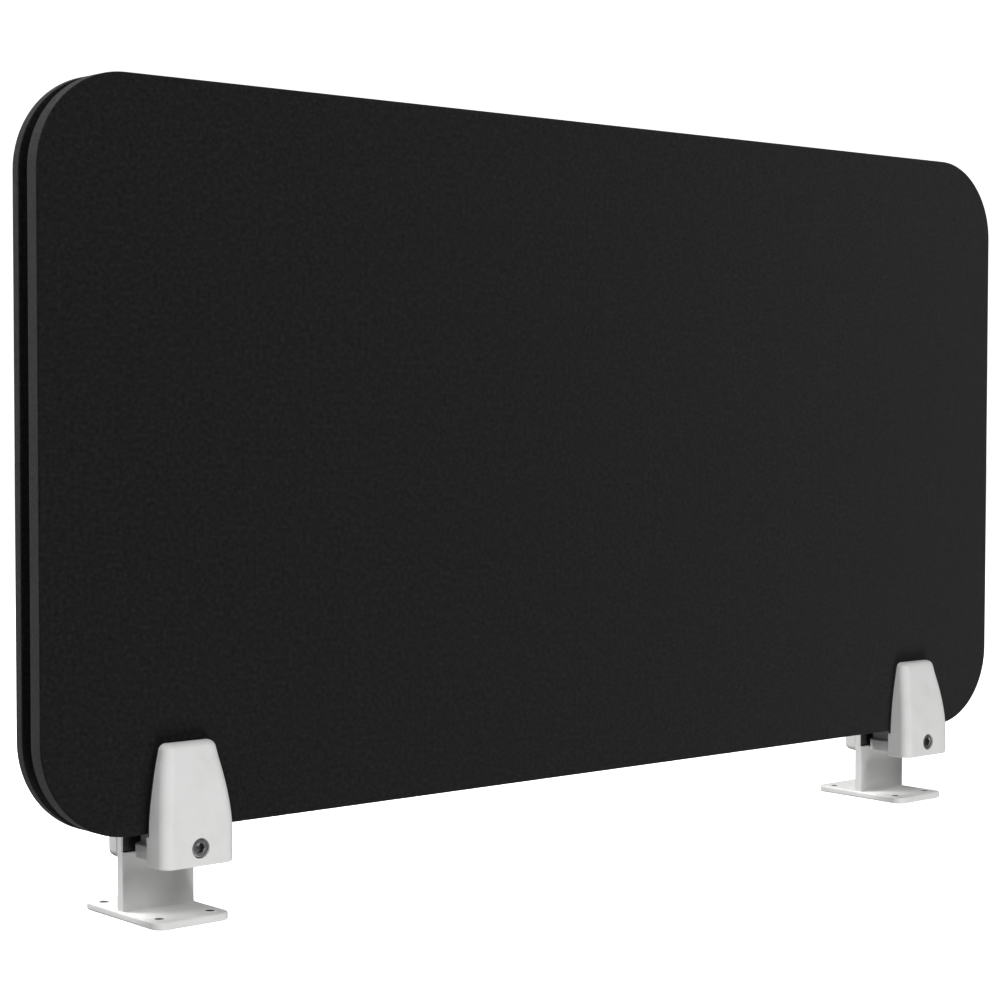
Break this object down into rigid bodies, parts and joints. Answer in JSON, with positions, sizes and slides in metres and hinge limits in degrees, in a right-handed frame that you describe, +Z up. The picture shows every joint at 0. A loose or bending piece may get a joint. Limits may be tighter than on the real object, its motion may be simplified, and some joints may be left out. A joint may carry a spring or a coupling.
{
  "type": "desk privacy panel",
  "caption": "Fabric-covered privacy panel with rounded corners, held upright on a desk by two white screw-clamp feet; the panel lifts out when the clamps are opened.",
  "frame": {"origin": "on the desk surface, under the middle of the box that holds the whole object", "axes": "+X along the panel, +Y away from the clamp screws' heads, +Z up"},
  "size_m": [0.776, 0.0826, 0.45],
  "materials": {
    "fabric": "fine charcoal weave",
    "board": "raw fibreboard",
    "black_frame": "black stained fibreboard",
    "infill": "pressed acoustic felt",
    "plug_plastic": "moulded",
    "steel": "zinc plated",
    "black_steel": "black oxide",
    "brass": "turned",
    "rubber": "matt black",
    "white_paint": "fine satin powder coat"
  },
  "bodies": {
    "feet": {"foot_left": "white_paint", "foot_right": "white_paint", "rear_jaw_left": "white_paint", "rear_jaw_right": "white_paint", "rear_pad_left": "rubber", "rear_pad_right": "rubber", "thread_insert_left": "brass", "thread_insert_right": "brass", "rear_jaw_screws_left": "steel", "rear_jaw_screws_right": "steel"},
    "panel": {"front_cover": "fabric", "front_board": "board", "front_staples": "steel", "spacer_frame": "black_frame", "acoustic_infill": "infill", "frame_screws": "steel", "push_plugs": "plug_plastic", "rear_board": "board", "rear_staples": "steel", "rear_cover": "fabric"},
    "jaw_left": {"front_jaw_left": "white_paint", "front_pad_left": "rubber", "rest_pad_left": "rubber", "washer_left": "steel"},
    "screw_left": {"clamp_screw_left": "black_steel"},
    "jaw_right": {"front_jaw_right": "white_paint", "front_pad_right": "rubber", "rest_pad_right": "rubber", "washer_right": "steel"},
    "screw_right": {"clamp_screw_right": "black_steel"}
  },
  "joints": [
    {"name": "panel_lift", "type": "slide", "parent": "feet", "child": "panel", "axis": [0, 0, 1], "range_m": [0, 0.06]},
    {"name": "jaw_slide_left", "type": "slide", "parent": "feet", "child": "jaw_left", "axis": [0, -1, 0], "range_m": [0, 0.005]},
    {"name": "screw_turn_left", "type": "hinge", "parent": "jaw_left", "child": "screw_left", "pos_m": [-0.3023, -0.04045, 0.0423], "axis": [0, -1, 0], "range_deg": [0, 1800]},
    {"name": "jaw_slide_right", "type": "slide", "parent": "feet", "child": "jaw_right", "axis": [0, -1, 0], "range_m": [0, 0.005]},
    {"name": "screw_turn_right", "type": "hinge", "parent": "jaw_right", "child": "screw_right", "pos_m": [0.3023, -0.04045, 0.0423], "axis": [0, -1, 0], "range_deg": [0, 1800]}
  ],
  "couplings": [
    {"joint": "screw_turn_left", "follows": "jaw_slide_left", "rad_per_m": 6283.2},
    {"joint": "screw_turn_right", "follows": "jaw_slide_right", "rad_per_m": 6283.2}
  ]
}
